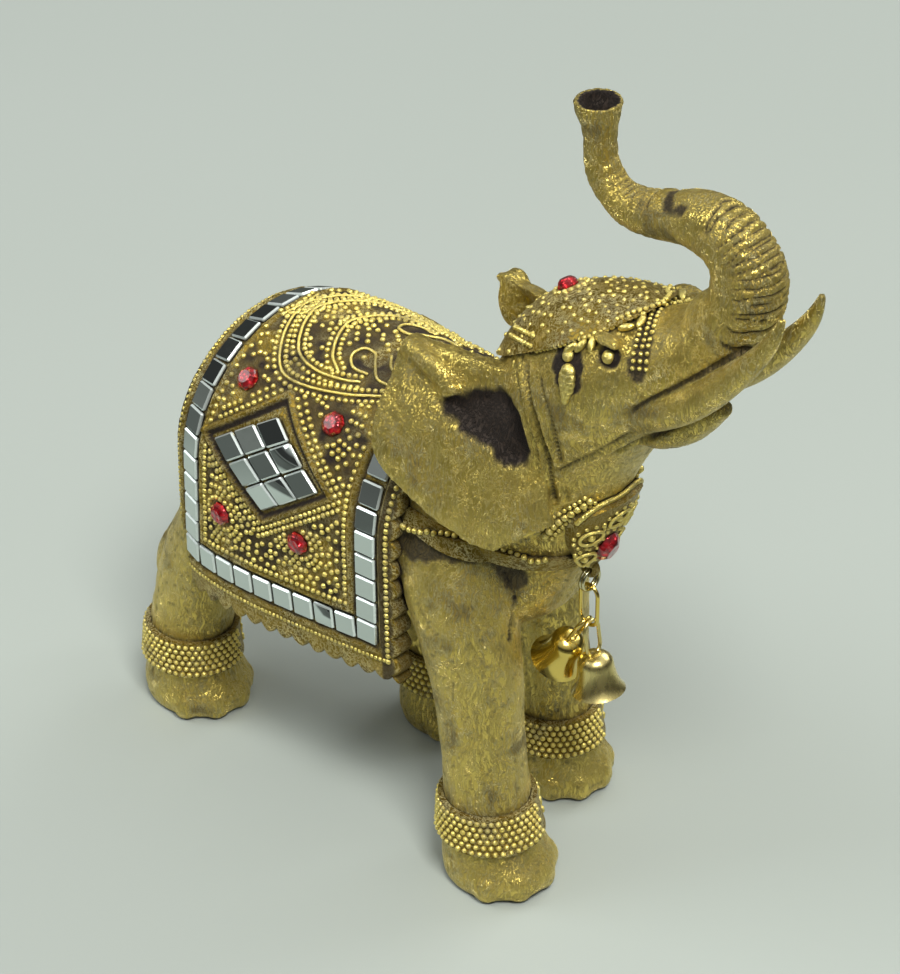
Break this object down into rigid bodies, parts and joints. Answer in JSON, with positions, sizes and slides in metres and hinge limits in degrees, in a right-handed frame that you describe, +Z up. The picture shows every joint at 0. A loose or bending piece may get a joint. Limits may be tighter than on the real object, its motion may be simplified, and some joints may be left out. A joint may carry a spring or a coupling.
{
  "type": "elephant figurine",
  "caption": "Standing elephant figurine with raised trunk, tusks, mirror-tiled saddle blanket, cap, anklets and a short chain with swinging bells under the chest ornament.",
  "frame": {"origin": "centre of the bounding box at the floor the soles stand on", "axes": "+X towards the elephant's head, +Y towards its left side, +Z up"},
  "size_m": [0.1605, 0.056, 0.17],
  "materials": {
    "gold_paint": "satin antique gold paint over cast resin",
    "mirror_glass": "small silvered glass tiles",
    "red_stone": "faceted red rhinestone",
    "bell_brass": "satin to polished brass plating",
    "ring_steel": "plated wire"
  },
  "bodies": {
    "figure": {"torso": "gold_paint", "head": "gold_paint", "trunk": "gold_paint", "lower_jaw": "gold_paint", "right_ear": "gold_paint", "left_ear": "gold_paint", "right_tusk": "gold_paint", "left_tusk": "gold_paint", "front_right_leg": "gold_paint", "front_left_leg": "gold_paint", "rear_right_leg": "gold_paint", "rear_left_leg": "gold_paint", "front_right_anklet": "gold_paint", "front_left_anklet": "gold_paint", "rear_right_anklet": "gold_paint", "rear_left_anklet": "gold_paint", "tail": "gold_paint", "saddle_blanket": "gold_paint", "breast_strap": "gold_paint", "chest_plate": "gold_paint", "head_cap": "gold_paint", "cap_stone": "red_stone", "chest_stone": "red_stone", "rear_border_mirrors": "mirror_glass", "right_border_mirrors": "mirror_glass", "left_border_mirrors": "mirror_glass", "right_diamond_mirrors": "mirror_glass", "left_diamond_mirrors": "mirror_glass", "right_blanket_stones": "red_stone", "left_blanket_stones": "red_stone"},
    "jump_ring": {"jump_ring": "ring_steel"},
    "chain_link": {"chain_link": "ring_steel"},
    "front_bell": {"front_bell": "bell_brass"},
    "rear_bell": {"rear_bell": "bell_brass"},
    "front_clapper": {"front_clapper": "bell_brass"},
    "rear_clapper": {"rear_clapper": "bell_brass"}
  },
  "joints": [
    {"name": "ring_swing", "type": "hinge", "parent": "figure", "child": "jump_ring", "pos_m": [0.03346, 0, 0.0696], "axis": [0, -1, 0], "range_deg": [-2, 25]},
    {"name": "link_sway", "type": "hinge", "parent": "jump_ring", "child": "chain_link", "pos_m": [0.03346, 0, 0.06539], "axis": [1, 0, 0], "range_deg": [-4, 4]},
    {"name": "front_bell_swing", "type": "hinge", "parent": "chain_link", "child": "front_bell", "pos_m": [0.03392, 0, 0.05715], "axis": [0, -1, 0], "range_deg": [0, 35]},
    {"name": "rear_bell_swing", "type": "hinge", "parent": "chain_link", "child": "rear_bell", "pos_m": [0.033, 0, 0.05715], "axis": [0, 1, 0], "range_deg": [0, 6]},
    {"name": "front_clapper_swing", "type": "hinge", "parent": "front_bell", "child": "front_clapper", "pos_m": [0.03542, 0, 0.04765], "axis": [0, -1, 0], "range_deg": [-8, 26]},
    {"name": "rear_clapper_swing", "type": "hinge", "parent": "rear_bell", "child": "rear_clapper", "pos_m": [0.02826, 0, 0.04878], "axis": [0, -1, 0], "range_deg": [-34, 0]}
  ]
}
